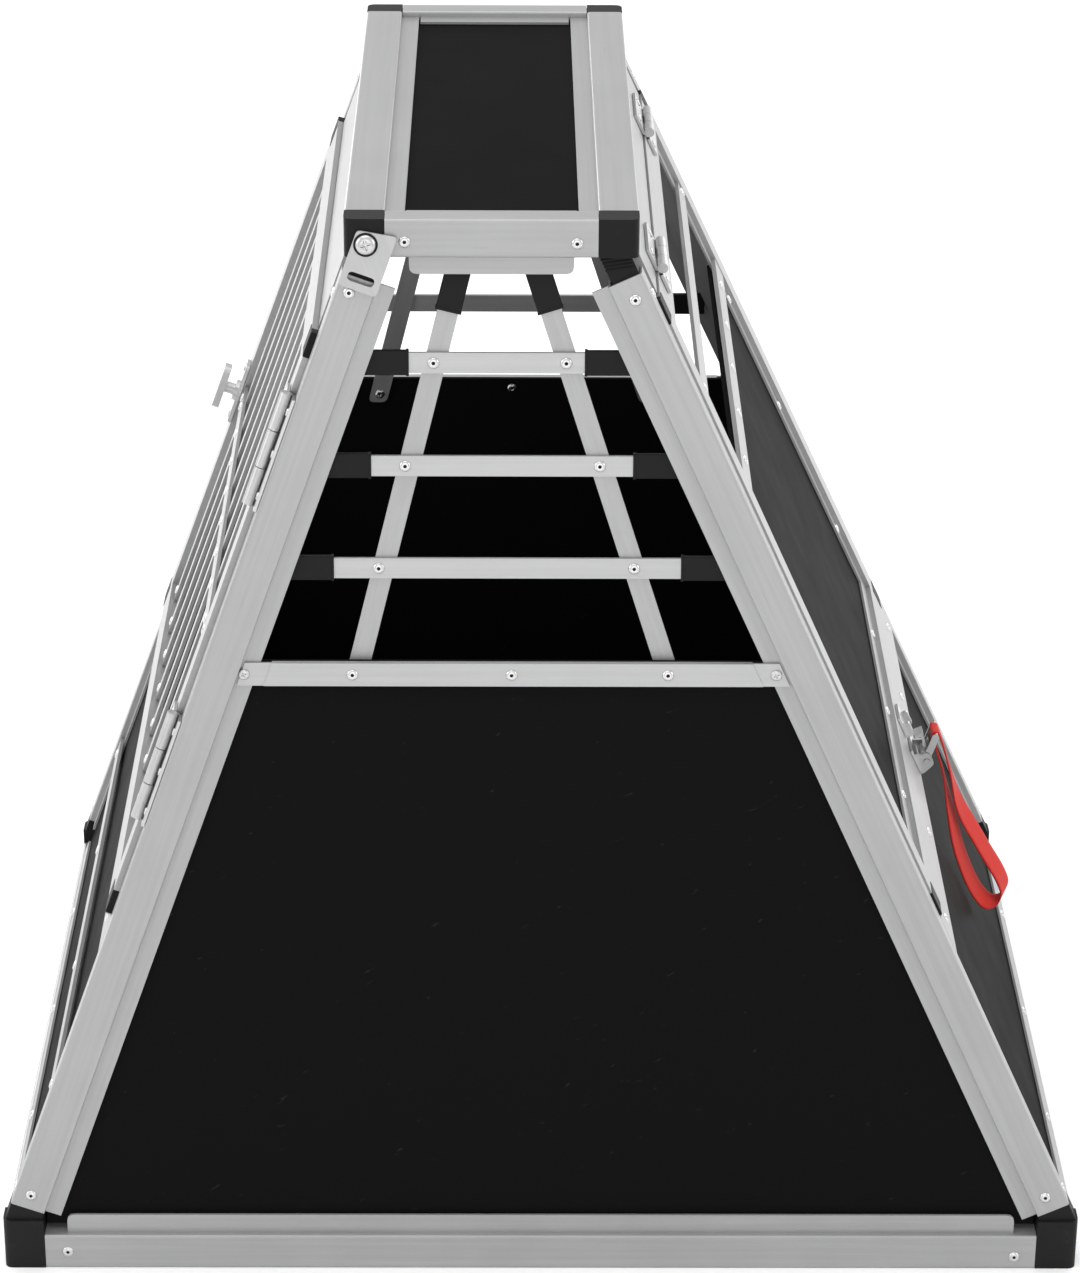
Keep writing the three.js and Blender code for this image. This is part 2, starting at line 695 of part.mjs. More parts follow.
// Two arms and a web stand out from the wall and carry the strap's bar. A short claw
// rises from the barrel and stops just under the keeper.
function latchLever() {
  const [up, lift] = lever.barAt;
  const [webUp, webLift] = [up * lever.webShare, lift * lever.webShare];
  const arm = [[-2, 2], [2, -2], [up + 2.5, lift - 1.5], [up + 2.5, lift + 2.5, 1.5], [up - 2, lift + 2.5]];
  const web = [[-1, 1], [1, -1], [webUp + 1, webLift - 1], [webUp - 1, webLift + 1]];
  const [back, front] = [claw.reach - claw.thick, claw.reach];
  const clawSides = [-claw.width / 2, claw.width / 2];
  return join(
    crossPin(latchPin, leverHalf + latchSeat.play + latchSeat.ear + pinOut),
    crossPin(lever.barrel, leverHalf),
    crossPin(lever.bar, leverHalf, lever.barAt),
    sidePlate(arm, [-leverHalf, -leverHalf + lever.arm]),
    sidePlate(arm, [leverHalf - lever.arm, leverHalf]),
    sidePlate(web, [-leverHalf + 1, leverHalf - 1]),
    sidePlate([[0, 3 - claw.thick], [front, 6 - claw.thick], [front, 6], [0, 3]], clawSides),
    sidePlate([[back, 6 - claw.lip], [front, 6 - claw.lip], [front, 5], [back, 5]], clawSides),
  );
}

function latchKeeper() {
  const level = latchFloor + hatchFace;
  const [low, high] = keeper.prongs;
  const outlinePoints = [[low, level + 0.5], [high, level + 0.5], [high, 0, 1.5], [low, 0, 1.5]];
  const prong = (x) => sidePlate(outlinePoints, x);
  return join(
    extrude(rectangle([-leverHalf - 3, leverHalf + 3], [keeper.foot, keeper.top], 2), level, level + keeper.sheet),
    prong([-leverHalf, -leverHalf + keeper.prongWidth]),
    prong([leverHalf - keeper.prongWidth, leverHalf]),
  );
}

// The webbing wraps the lever's bar and hangs in a long loop. Its width runs along the
// wall, with a slight twist, and the two legs spread apart as they hang.
function hangingLoop(geometry) {
  const position = geometry.attributes.position;
  for (let i = 0; i < position.count; i += 1) {
    const [across, up, lift] = [position.getX(i), position.getY(i), position.getZ(i)];
    const hang = THREE.MathUtils.smoothstep(-up, strapOpens.from, strapOpens.to);
    const leg = THREE.MathUtils.clamp((lift - strapOpens.lift) / strapOpens.reach, -1, 1);
    position.setXYZ(i, across + strapSpread * hang * leg, up, lift + across * strapTwist * hang);
  }
  return geometry;
}

function pullStrap() {
  const [up, lift] = lever.barAt;
  const wrap = lever.bar + 0.5 + strapThick / 2;
  const centre = new THREE.CatmullRomCurve3([
    [up + wrap, lift], [up, lift + wrap], ...strapOuter, ...strapInner,
    [up - wrap - 1, lift - wrap - overlap], [up + wrap - 1, lift - wrap + 1],
  ].map(([y, z]) => new THREE.Vector3(y, z, 0)), true);
  const edge = (shift) => {
    const points = [];
    for (let i = 0; i < strapSteps; i += 1) {
      const along = centre.getTangent(i / strapSteps);
      const side = new THREE.Vector3(-along.y, along.x, 0);
      const point = centre.getPoint(i / strapSteps).addScaledVector(side, shift);
      points.push(new THREE.Vector2(point.x, point.y));
    }
    return points;
  };
  const loop = new THREE.Shape(edge(-strapThick / 2));
  loop.holes.push(new THREE.Path(edge(strapThick / 2)));
  return hangingLoop(extrude(loop, -strapWidth / 2, strapWidth / 2).applyMatrix4(acrossX));
}

function hatchLatch(wall) {
  const place = new THREE.Group();
  place.position.set(hatchLatchX, latchPivotZ * wall.stretch, latchPivotLift);
  place.add(part('hatch_latch_base', latchBase(), steel()));
  place.add(part('hatch_latch_lever', latchLever(), steel()));
  place.add(part('hatch_latch_keeper', latchKeeper(), steel()));
  place.add(part('pull_strap', pullStrap(), redWebbing()));
  wall.group.add(place);
}

// ---- Tie-down bracket on the near roof corner ----

function tieBracket(wall) {
  const lean = Math.atan2((frontAt(1) - frontAt(0)), wall.stretch);
  const half = bracketWidth / 2;
  const plate = outline([
    [-half, -bracketFoot, 3], [half, -bracketFoot, 3], [half, bracketRise, 3], [-half, bracketRise - 5, 3],
  ]);
  const slotShape = centred(...bracketSlot, bracketSlot[1] / 2 - 0.1);
  const slot = extrude(slotShape, -1, bracketThick + 1).translate(0, bracketSlotAt, 0);
  const hole = rod(bracketHole.radius, -1, bracketThick + 1).translate(...bracketHole.at, 0);
  const mesh = part('tie_bracket', cut(extrude(plate, 0, bracketThick), slot, hole), aluminium());
  const lift = roofLength / 2 - endAt(bracketZ + bracketRise) + gap;
  mesh.position.set(frontAt(bracketZ) + half + sideGap, bracketZ * wall.stretch, lift);
  mesh.rotation.z = -lean;
  return mesh;
}

// ---- Assembly ----

for (const [name, sx] of Object.entries(endSides)) {
  for (const [end, sy] of [['front', -1], ['back', 1]]) {
    crate.add(part(`post_${end}_${name}`, postGeometry(sx, sy), aluminium()));
    crate.add(part(`base_corner_${end}_${name}`, baseCorner(sx, sy), blackPlastic()));
    crate.add(part(`roof_corner_${end}_${name}`, roofCorner(sx, sy), blackPlastic()));
  }
  crate.add(part(`base_rail_${name}`, baseEndRail(sx), aluminium()));
  crate.add(part(`roof_rail_${name}`, roofEndRail(sx), aluminium()));
  const wall = walls[name];
  wall.group.add(part(`end_panel_${name}`, endPanel(sx, wall), blackPanel()));
  wall.group.add(part(`mid_rail_${name}`, midRail(sx, wall), aluminium()));
  windowBarZ.forEach((z, i) => {
    wall.group.add(part(`window_bar_${i + 1}_${name}`, endStrip(sx, wall, z, barWidth, 2, barLevels), aluminium()));
  });
  strapFoot.forEach((foot, i) => {
    wall.group.add(part(`window_strap_${i + 1}_${name}`, strap(sx, wall, foot, strapHead[i]), aluminium()));
  });
}
walls.right.group.add(tieBracket(walls.right));

crate.add(part('base_rail_front', baseSideRail(-1, walls.front), aluminium()));
crate.add(part('base_rail_back', baseSideRail(1, walls.back), aluminium()));
crate.add(part('roof_rail_front', roofSideRail(-1, walls.front, doorTop + leafGap), aluminium()));
crate.add(part('roof_rail_back', roofSideRail(1, walls.back, hatchTop + leafGap), aluminium()));
crate.add(part('floor_panel', floorPanel(), blackPanel()));
crate.add(part('roof_panel', roofPanel(), blackPanel()));

for (const name of ['front', 'back']) {
  walls[name].group.add(part(`cross_rail_${name}`, crossRail(walls[name]), aluminium()));
  walls[name].group.add(part(`lower_panel_${name}`, lowerPanel(walls[name]), blackPanel()));
}
walls.front.group.add(part('sill_bar', sillBar(walls.front), aluminium()));
walls.front.group.add(part('door_frame', doorFrame(walls.front), aluminium()));
walls.front.group.add(part('door_grille', doorGrille(walls.front), aluminium()));
walls.back.group.add(part('hatch_frame', hatchFrame(walls.back), aluminium()));
walls.back.group.add(part('hatch_panel', hatchPanel(walls.back), blackPanel()));

const doorLean = Math.atan2(endAt(0) - endAt(1), walls.front.stretch);
doorHingeZ.forEach((z, i) => {
  const place = new THREE.Vector3(endAt(z) - doorHingeInset, z * walls.front.stretch, doorHinge.lift);
  hingePair(`door_hinge_${i + 1}`, walls.front, doorHinge, place, doorLean, doorFace);
});
[-hatchHingeX, hatchHingeX].forEach((x, i) => {
  const place = new THREE.Vector3(x, (hatchTop + leafGap / 2) * walls.back.stretch, hatchHinge.lift);
  hingePair(`hatch_hinge_${i + 1}`, walls.back, hatchHinge, place, Math.PI / 2, hatchFace);
});

doorLatch(walls.front);
hatchLatch(walls.back);

export default crate;
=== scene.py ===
# A trapezoid dog travel crate: riveted aluminium profile, black composite panels, barred
# windows, a barred front door and a rear escape hatch. Metres, +Z up, the door faces -Y.
import math
import bmesh
import bpy
from mathutils import Matrix, Vector


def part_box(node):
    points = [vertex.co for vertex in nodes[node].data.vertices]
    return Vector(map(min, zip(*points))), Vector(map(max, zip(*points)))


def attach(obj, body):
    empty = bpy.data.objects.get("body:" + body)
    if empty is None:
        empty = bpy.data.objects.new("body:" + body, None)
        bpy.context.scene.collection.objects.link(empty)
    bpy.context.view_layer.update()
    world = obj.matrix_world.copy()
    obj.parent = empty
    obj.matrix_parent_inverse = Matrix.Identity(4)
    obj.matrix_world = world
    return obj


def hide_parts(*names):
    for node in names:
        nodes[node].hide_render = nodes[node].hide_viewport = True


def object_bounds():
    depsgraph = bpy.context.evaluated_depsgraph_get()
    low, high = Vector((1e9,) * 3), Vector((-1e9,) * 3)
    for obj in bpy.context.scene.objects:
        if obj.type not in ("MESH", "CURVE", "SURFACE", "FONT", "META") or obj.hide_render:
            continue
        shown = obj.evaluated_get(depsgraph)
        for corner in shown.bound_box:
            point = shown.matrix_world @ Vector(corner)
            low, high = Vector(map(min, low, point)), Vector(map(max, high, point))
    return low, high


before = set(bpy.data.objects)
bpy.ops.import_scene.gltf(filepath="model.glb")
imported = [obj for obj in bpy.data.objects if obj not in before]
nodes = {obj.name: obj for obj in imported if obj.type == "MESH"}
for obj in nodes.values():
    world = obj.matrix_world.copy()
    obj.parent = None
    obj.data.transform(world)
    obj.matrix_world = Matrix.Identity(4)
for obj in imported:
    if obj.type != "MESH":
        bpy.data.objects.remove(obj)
cad_box = [list(corner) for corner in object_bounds()]


# ---- Camera ----
# A long lens above the near end of the crate, looking down along its length. Angles are
# in radians: tilted down, turned aside and rolled.
tilt, turn, roll = 0.43935, 0.00837, 0.00571
camera_place = (2.9645, -0.0255, 1.7835)
lens_length = 113.1
farthest_seen = 60
ahead = Vector((-math.cos(turn), math.sin(turn), 0))
aside = Vector((math.sin(turn), math.cos(turn), 0))
above = Vector((0, 0, 1))
look = ahead * math.cos(tilt) - above * math.sin(tilt)
crown = above * math.cos(tilt) + ahead * math.sin(tilt)
right_hand = aside * math.cos(roll) + crown * math.sin(roll)
camera_top = crown * math.cos(roll) - aside * math.sin(roll)

camera = bpy.data.objects.new("camera", bpy.data.cameras.new("camera"))
camera.data.lens = lens_length
camera.data.clip_end = farthest_seen
camera_axes = Matrix((right_hand, camera_top, -look)).transposed().to_4x4()
camera.matrix_world = Matrix.Translation(camera_place) @ camera_axes
bpy.context.scene.collection.objects.link(camera)
bpy.context.scene.camera = camera


# ---- Studio ----
# A plain pale floor, a pale sky and six soft lamps. Here too is the class that the
# materials are written with: it wraps one shader socket and gives it arithmetic.
sky_strength = 0.85
floor_half_width = 14
lamp_target = Vector((0, 0, 0.4))


class Wire:
    def __init__(self, tree, socket):
        self.tree = tree
        self.socket = socket

    def node(self, kind, settings, inputs, output=0):
        made = self.tree.nodes.new(kind)
        for name, value in settings.items():
            setattr(made, name, value)
        for key, value in inputs.items():
            if isinstance(value, Wire):
                self.tree.links.new(value.socket, made.inputs[key])
            else:
                made.inputs[key].default_value = value
        return Wire(self.tree, made.outputs[output])

    def maths(self, operation, *values):
        return self.node("ShaderNodeMath", {"operation": operation}, dict(enumerate(values)))

    def __add__(self, other):
        return self.maths("ADD", self, other)

    def __sub__(self, other):
        return self.maths("SUBTRACT", self, other)

    def __mul__(self, other):
        return self.maths("MULTIPLY", self, other)

    __radd__ = __add__

    def noise(self, scale, detail=2.0, roughness=0.5):
        sizes = {"Vector": self, "Scale": scale, "Detail": detail, "Roughness": roughness}
        return self.node("ShaderNodeTexNoise", {}, sizes)

    def between(self, low, high, to_low=0.0, to_high=1.0):
        limits = {"Value": self, "From Min": low, "From Max": high, "To Min": to_low, "To Max": to_high}
        return self.node("ShaderNodeMapRange", {"interpolation_type": "SMOOTHSTEP"}, limits)

    def blend(self, dark, light):
        inputs = {0: self, 6: dark, 7: light}
        return self.node("ShaderNodeMix", {"data_type": "RGBA"}, inputs, output=2)

    def drawn_out(self, along, factor):
        """Coordinates shrunk along one direction, so that a pattern is drawn out that way."""
        kind = "ShaderNodeVectorMath"
        level = self.node(kind, {"operation": "DOT_PRODUCT"}, {0: self, 1: along}, output=1)
        shift = self.node(kind, {"operation": "SCALE"}, {0: along, "Scale": level * -factor})
        return self.node(kind, {"operation": "ADD"}, {0: self, 1: shift})


def new_material(name, metallic, specular=0.5, **fixed):
    material = bpy.data.materials.new(name)
    material.use_nodes = True
    tree = material.node_tree
    shader = tree.nodes["Principled BSDF"]
    shader.inputs["Metallic"].default_value = metallic
    shader.inputs["Specular IOR Level"].default_value = specular
    for key, value in fixed.items():
        shader.inputs[key.replace("_", " ")].default_value = value
    place = Wire(tree, tree.nodes.new("ShaderNodeTexCoord").outputs["Object"])
    return material, shader, place


def feed(shader, colour, roughness, height, bump_distance):
    tree = colour.tree
    bump = height.node("ShaderNodeBump", {}, {"Strength": 1.0, "Distance": bump_distance, "Height": height})
    for socket, wire in (("Base Color", colour), ("Roughness", roughness), ("Normal", bump)):
        tree.links.new(wire.socket, shader.inputs[socket])


def grey(value, warmth=0.0):
    return (value * (1 + warmth), value, value * (1 - warmth), 1.0)


floor_material, floor_shader, floor_place = new_material("studio_floor", 0.0, 0.2)
floor_dust = floor_place.noise(6, 3)
feed(floor_shader, floor_dust.blend(grey(0.86), grey(0.9)), floor_dust.between(0, 1, 0.75, 0.85),
     floor_place.noise(300), 0.0001)

floor_mesh = bmesh.new()
bmesh.ops.create_grid(floor_mesh, x_segments=8, y_segments=8, size=floor_half_width)
floor = bpy.data.objects.new("floor", bpy.data.meshes.new("floor"))
floor_mesh.to_mesh(floor.data)
floor.data.materials.append(floor_material)
bpy.context.scene.collection.objects.link(floor)

world = bpy.data.worlds.new("studio")
world.use_nodes = True
world.node_tree.nodes["Background"].inputs["Color"].default_value = (1.0, 1.0, 1.0, 1)
world.node_tree.nodes["Background"].inputs["Strength"].default_value = sky_strength
bpy.context.scene.world = world
bpy.context.scene.view_settings.view_transform = "Standard"

# Each lamp's place, width and power
lamps = {
    "overhead": ((0.2, -0.3, 3.4), 3.0, 50),
    "left_window": ((1.2, -3.4, 1.9), 2.4, 45),
    "right_window": ((1.2, 3.4, 1.8), 2.2, 35),
    "left_rim": ((-2.6, -2.0, 1.5), 2.0, 55),
    "right_rim": ((-2.6, 2.2, 1.5), 2.0, 35),
    "end_fill": ((3.2, 0.0, 1.0), 2.0, 14),
}
for lamp_name, (spot, size, power) in lamps.items():
    lamp = bpy.data.objects.new(lamp_name, bpy.data.lights.new(lamp_name, "AREA"))
    lamp.data.size = size
    lamp.data.energy = power
    lamp.location = spot
    lamp.rotation_mode = "QUATERNION"
    lamp.rotation_quaternion = (lamp_target - Vector(spot)).to_track_quat("-Z", "Y")
    bpy.context.scene.collection.objects.link(lamp)


# ---- Sloping walls ----
# The crate tapers to its roof, so each wall has its own frame: along it, up its slope
# and straight out of it. Heights are true heights.
cad_low, cad_high = Vector(cad_box[0]), Vector(cad_box[1])
post_foot_z, post_head_z = 0.046, 0.808
post_inset = 0.003
profile_face, profile_depth = 0.029, 0.020
flange_width = 0.014
flange_recess = 0.005
profile_gap = 0.0004
roof_rail_low, roof_rail_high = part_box("roof_rail_right")
foot_x, head_x = cad_high.x - post_inset, roof_rail_high.x
foot_front, foot_back = cad_low.y + post_inset, cad_high.y - post_inset
roof_front = roof_rail_low.y - profile_face - profile_gap
roof_back = roof_rail_high.y + profile_face + profile_gap


def on_line(foot, head, z):
    return foot + (head - foot) * (z - post_foot_z) / (post_head_z - post_foot_z)


def end_x(z):
    return on_line(foot_x, head_x, z)


def front_y(z):
    return on_line(foot_front, roof_front, z)


def back_y(z):
    return on_line(foot_back, roof_back, z)


class Wall:
    def __init__(self, along, foot, rise):
        self.along = Vector(along)
        self.foot = Vector(foot)
        self.stretch = Vector(rise).length
        self.up = Vector(rise).normalized()
        self.out = self.along.cross(self.up)

    def at(self, x, z, lift=0.0):
        return self.foot + self.along * x + self.up * (z * self.stretch) + self.out * lift

    def frame(self, x, z, lift=0.0, spin=0.0):
        axes = Matrix((self.along, self.up, self.out)).transposed().to_4x4()
        return Matrix.Translation(self.at(x, z, lift)) @ axes @ Matrix.Rotation(spin, 4, "Z")


walls = {
    "right": Wall((0, 1, 0), (end_x(0), 0, 0), (end_x(1) - end_x(0), 0, 1)),
    "left": Wall((0, -1, 0), (-end_x(0), 0, 0), (end_x(0) - end_x(1), 0, 1)),
    "front": Wall((1, 0, 0), (0, front_y(0), 0), (0, front_y(1) - front_y(0), 1)),
    "back": Wall((-1, 0, 0), (0, back_y(0), 0), (0, back_y(1) - back_y(0), 1)),
}
end_walls = {"right": (walls["right"], 1), "left": (walls["left"], -1)}


# ---- Posts and rails ----
# Extruded aluminium box profile with thin flanges, anodised a satin silver. The die
# leaves fine lines along each length, and handling leaves faint longer scratches.
# The oxide layer scatters part of the light, so the metal is only partly mirror-like.
oxide_metallic, oxide_specular = 0.52, 0.3
flat_bar_tone = 0.41


def anodised(name, along, tone=0.345):
    material, shader, place = new_material(name, oxide_metallic, oxide_specular)
    lengthways = Vector(along).normalized()
    lines = place.drawn_out(lengthways, 0.985)
    die_lines = lines.noise(1500, 2)
    broad_lines = lines.noise(260, 1)
    scratches = lines.noise(620, 3, 0.7).between(0.66, 0.74)
    cloud = place.noise(14, 3)
    shade = cloud * 0.35 + broad_lines * 0.4 + die_lines * 0.25
    colour = shade.between(0.25, 0.75).blend(grey(tone * 0.93, -0.006), grey(tone * 1.07, -0.004))
    colour = (scratches * 0.35).blend(colour, grey(tone * 0.72))
    roughness = cloud * 0.1 + die_lines * 0.12 + scratches * 0.1 + 0.27
    feed(shader, colour, roughness, die_lines * 0.6 + broad_lines * 0.4 + scratches * 0.5, 0.00006)
    return material


def finish_node(node_name, material):
    node = nodes[node_name]
    node.data.materials.clear()
    node.data.materials.append(material)


silver_x = anodised("anodised_along_x", (1, 0, 0))
silver_y = anodised("anodised_along_y", (0, 1, 0))
bright_y = anodised("flat_bar_along_y", (0, 1, 0), flat_bar_tone)
for side, (wall, sign) in end_walls.items():
    for end, edge_y in (("front", front_y), ("back", back_y)):
        slope = (sign * (end_x(1) - end_x(0)), edge_y(1) - edge_y(0), 1)
        finish_node(f"post_{end}_{side}", anodised(f"anodised_post_{end}_{side}", slope))
    finish_node(f"base_rail_{side}", silver_y)
    finish_node(f"roof_rail_{side}", silver_y)
    finish_node(f"mid_rail_{side}", bright_y)
for end in ("front", "back"):
    finish_node(f"base_rail_{end}", silver_x)
    finish_node(f"roof_rail_{end}", silver_x)
    finish_node(f"cross_rail_{end}", silver_x)
finish_node("sill_bar", silver_x)


# ---- Plastic corners ----
# Injection-moulded black nylon corners that plug into the profiles. The mould leaves a
# fine even grain, and the corners are scuffed paler where they are knocked.
def moulded(name, tone=0.009):
    material, shader, place = new_material(name, 0.0, 0.5, IOR=1.22)
    grain = place.noise(2600, 2)
    scuff = place.noise(70, 4, 0.65).between(0.6, 0.75)
    colour = (scuff * 0.5).blend(grey(tone), grey(tone * 2.6))
    feed(shader, colour, grain * 0.14 + scuff * 0.12 + 0.42, grain, 0.00012)
    return material


black_nylon = moulded("black_nylon")
for side in ("right", "left"):
    for end in ("front", "back"):
        finish_node(f"base_corner_{end}_{side}", black_nylon)
        finish_node(f"roof_corner_{end}_{side}", black_nylon)


def add_piece(name, mesh, materials, body):
    bmesh.ops.recalc_face_normals(mesh, faces=mesh.faces)
    data = bpy.data.meshes.new(name)
    mesh.to_mesh(data)
    mesh.free()
    for material in materials:
        data.materials.append(material)
    piece = bpy.data.objects.new(name, data)
    bpy.context.scene.collection.objects.link(piece)
    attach(piece, body)
    return piece


def rounded_box(mesh, size, place, rounding=0.0006, segments=2):
    made = bmesh.ops.create_cube(mesh, size=1)["verts"]
    bmesh.ops.scale(mesh, vec=size, verts=made)
    edges = list({edge for vert in made for edge in vert.link_edges})
    rounded = bmesh.ops.bevel(mesh, geom=edges, offset=rounding, segments=segments, affect="EDGES",
                              profile=0.5, material=-1)
    everything = list(set(rounded["verts"]) | {vert for vert in made if vert.is_valid})
    bmesh.ops.transform(mesh, matrix=place, verts=everything)


# Ribs stand on the bare stretch of each roof corner's leg, above the cut post.
rib_count, rib_foot_z, rib_step = 4, 0.8065, 0.0026
rib_size = (profile_face - 0.008, 0.0011, 0.003)
rib_sink, rib_rounding = 0.0026, 0.0003
rib_lean_share = 0.35
for side, (wall, sign) in end_walls.items():
    for end, edge_y, inward in (("front", front_y, 1), ("back", back_y, -1)):
        rib_mesh = bmesh.new()
        lean = math.atan2(edge_y(1) - edge_y(0), wall.stretch)
        for step in range(rib_count):
            z = rib_foot_z + rib_step * step
            middle = edge_y(z) + inward * profile_face / 2
            rib_place = wall.frame(sign * middle, z, -rib_sink, -sign * lean * rib_lean_share)
            rounded_box(rib_mesh, rib_size, rib_place, rib_rounding, 1)
        add_piece(f"corner_ribs_{end}_{side}", rib_mesh, [black_nylon], "frame")


# ---- Panels ----
# Black composite sheet with a smooth, slightly wavy face. Light dust and the odd hair
# scratch keep it from looking like paint.
def composite(name, tone=0.0062):
    material, shader, place = new_material(name, 0.0, 0.5, IOR=1.045)
    wave = place.noise(22, 2)
    peel = place.noise(480, 2)
    dust = place.noise(1300, 3, 0.7).between(0.62, 0.8)
    wiped = place.drawn_out(Vector((0.3, 0.8, 0.52)).normalized(), 0.97)
    hairs = wiped.noise(240, 2, 0.6).between(0.7, 0.76)
    colour = (dust * 0.22 + hairs * 0.18).blend(grey(tone), grey(0.05))
    feed(shader, colour, wave * 0.1 + dust * 0.1 + hairs * 0.1 + 0.42, wave * 0.7 + peel * 0.3, 0.00008)
    return material


black_sheet = composite("black_composite")
black_panels = ("end_panel_right", "end_panel_left", "lower_panel_front", "lower_panel_back",
                "floor_panel", "roof_panel", "hatch_panel")
for panel in black_panels:
    finish_node(panel, black_sheet)


# ---- Window bars and straps ----
# Flat aluminium bar. Three run across each end window, their ends in black plastic caps
# behind the posts, and two slanting straps behind them are capped at the top.
window_bar_z = [0.5777, 0.6565, 0.7345]
bar_width, bar_thick = 0.0155, 0.0028
bar_face = -0.0086
strap_face = bar_face - bar_thick - 0.0003
mid_rail_z = 0.4965
strap_ends = [(0.195, 0.324), (0.803, 0.749)]
strap_foot_z, strap_top_z = mid_rail_z - 0.012, 0.812


def strap_y(foot, head, z):
    def across(level, share):
        low = front_y(level) + profile_face + flange_width
        high = back_y(level) - profile_face - flange_width
        return low + (high - low) * share

    start, end = across(strap_foot_z, foot), across(strap_top_z, head)
    return start + (end - start) * (z - strap_foot_z) / (strap_top_z - strap_foot_z)


for side in ("right", "left"):
    for number in (1, 2, 3):
        finish_node(f"window_bar_{number}_{side}", bright_y)
    for number, (foot, head) in enumerate(strap_ends, 1):
        slope = (0, strap_y(foot, head, 1) - strap_y(foot, head, 0), 1)
        finish_node(f"window_strap_{number}_{side}", anodised(f"anodised_strap_{number}_{side}", slope))


def sleeve(mesh, length, place, width=0.0188, thick=0.0052):
    """A cap drawn over a bar's end: a soft-edged sleeve with a raised lip at its mouth."""
    rounded_box(mesh, (length, width, thick), place, 0.0011, 3)
    lip = place @ Matrix.Translation((length / 2 - 0.001, 0, 0))
    rounded_box(mesh, (0.002, width + 0.0007, thick + 0.0006), lip, 0.0003, 2)


cap_start, cap_end = 0.0305, 0.072
cap_thick, cap_level = 0.0046, bar_face - bar_thick / 2 - 0.0002
strap_cap_z, strap_cap_length = 0.7895, 0.036
for side, (wall, sign) in end_walls.items():
    cap_mesh = bmesh.new()
    for z in window_bar_z:
        for edge_y, inward in ((front_y, 1), (back_y, -1)):
            middle = edge_y(z) + inward * (cap_start + cap_end) / 2
            spin = 0.0 if inward * sign > 0 else math.pi
            cap_place = wall.frame(sign * middle, z, cap_level, spin)
            sleeve(cap_mesh, cap_end - cap_start, cap_place, thick=cap_thick)
    for foot, head in strap_ends:
        lean = math.atan2((strap_y(foot, head, 1) - strap_y(foot, head, 0)) * sign, wall.stretch)
        middle = sign * strap_y(foot, head, strap_cap_z)
        cap_place = wall.frame(middle, strap_cap_z, strap_face - bar_thick / 2, -lean - math.pi / 2)
        sleeve(cap_mesh, strap_cap_length, cap_place)
    add_piece(f"bar_caps_{side}", cap_mesh, [black_nylon], "frame")


# ---- Rivets ----
# Domed aluminium pop rivets; the hollow of the pulled mandrel in the middle is painted near-black as shade.
# One shape is turned once and copied to every place.
def turned(profile, steps, dark_below=None):
    """A profile of (radius, height) points spun into one solid shape."""
    mesh = bmesh.new()
    verts = [mesh.verts.new((radius, 0, height)) for radius, height in profile]
    edges = [mesh.edges.new(pair) for pair in zip(verts, verts[1:])]
    bmesh.ops.spin(mesh, geom=verts + edges, cent=(0, 0, 0), axis=(0, 0, 1), angle=math.tau, steps=steps,
                   use_merge=True)
    bmesh.ops.remove_doubles(mesh, verts=mesh.verts, dist=1e-6)
    for face in mesh.faces:
        face.smooth = True
        if dark_below is not None:
            middle = face.calc_center_median()
            # Faces nearer the axis than dark_below take the second material; the rivets use it as painted
            # shade.
            face.material_index = 1 if math.hypot(middle.x, middle.y) < dark_below else 0
    data = bpy.data.meshes.new("turned")
    mesh.to_mesh(data)
    mesh.free()
    return data


def add_copies(name, shape, places, materials, body):
    mesh = bmesh.new()
    for place in places:
        before = len(mesh.verts)
        mesh.from_mesh(shape)
        mesh.verts.ensure_lookup_table()
        bmesh.ops.transform(mesh, matrix=place, verts=mesh.verts[before:])
    add_piece(name, mesh, materials, body)


# Faces of each rivet inside this radius, the mandrel hollow, are painted near-black as shade.
rivet_steps, painted_shade_radius = 16, 0.00125
rivet_profile = [(0, -0.0006), (0.0043, -0.0006), (0.0043, 0.0003), (0.0038, 0.0009), (0.0028, 0.0014),
                 (0.0017, 0.0016), (0.0013, 0.0014), (0.0012, 0.0006), (0.0005, 0.0008), (0, 0.0009)]
rivet = turned(rivet_profile, rivet_steps, dark_below=painted_shade_radius)


def rivets(name, places, body):
    add_copies(name, rivet, places, [rivet_metal, mandrel_hollow_painted_shade], body)


def plain_metal(name, tone, low_roughness):
    material, shader, place = new_material(name, 1.0)
    cloud = place.noise(160, 3)
    pits = place.noise(2200, 2).between(0.6, 0.8)
    colour = (cloud * 0.6 + pits * 0.4).blend(grey(tone * 1.05), grey(tone * 0.84))
    feed(shader, colour, cloud * 0.14 + pits * 0.12 + low_roughness, cloud * 0.5 - pits * 0.5, 0.00008)
    return material


rivet_metal = plain_metal("rivet_aluminium", 0.62, 0.2)
# A near-black nylon used as painted shade in each rivet's mandrel hollow.
mandrel_hollow_painted_shade = moulded("mandrel_shadow", 0.01)

post_rivet_yz = [(-0.397, 0.064), (0.393, 0.063), (-0.141, 0.789), (0.064, 0.784)]
mid_rail_rivet_y = [-0.142, -0.024, 0.092]
bar_rivet_y = [(0.7345, (-0.081, 0.015)), (0.6565, (-0.102, 0.040)), (0.5777, (-0.122, 0.066))]
base_rail_rivets = [(-0.370, 0.015), (0.371, 0.011)]
roof_rail_rivets = [(-0.101, 0.827), (0.022, 0.826)]
mid_rail_face = -0.0018
mid_rail_back = -0.0104
strap_rivet_rise = 0.008
turned_over = Matrix.Rotation(math.pi, 4, "X")


def upright_place(sign, x, y, z):
    out = Vector((sign, 0, 0))
    along = Vector((0, sign, 0))
    axes = Matrix((along, Vector((0, 0, 1)), out)).transposed().to_4x4()
    return Matrix.Translation((sign * x, y, z)) @ axes


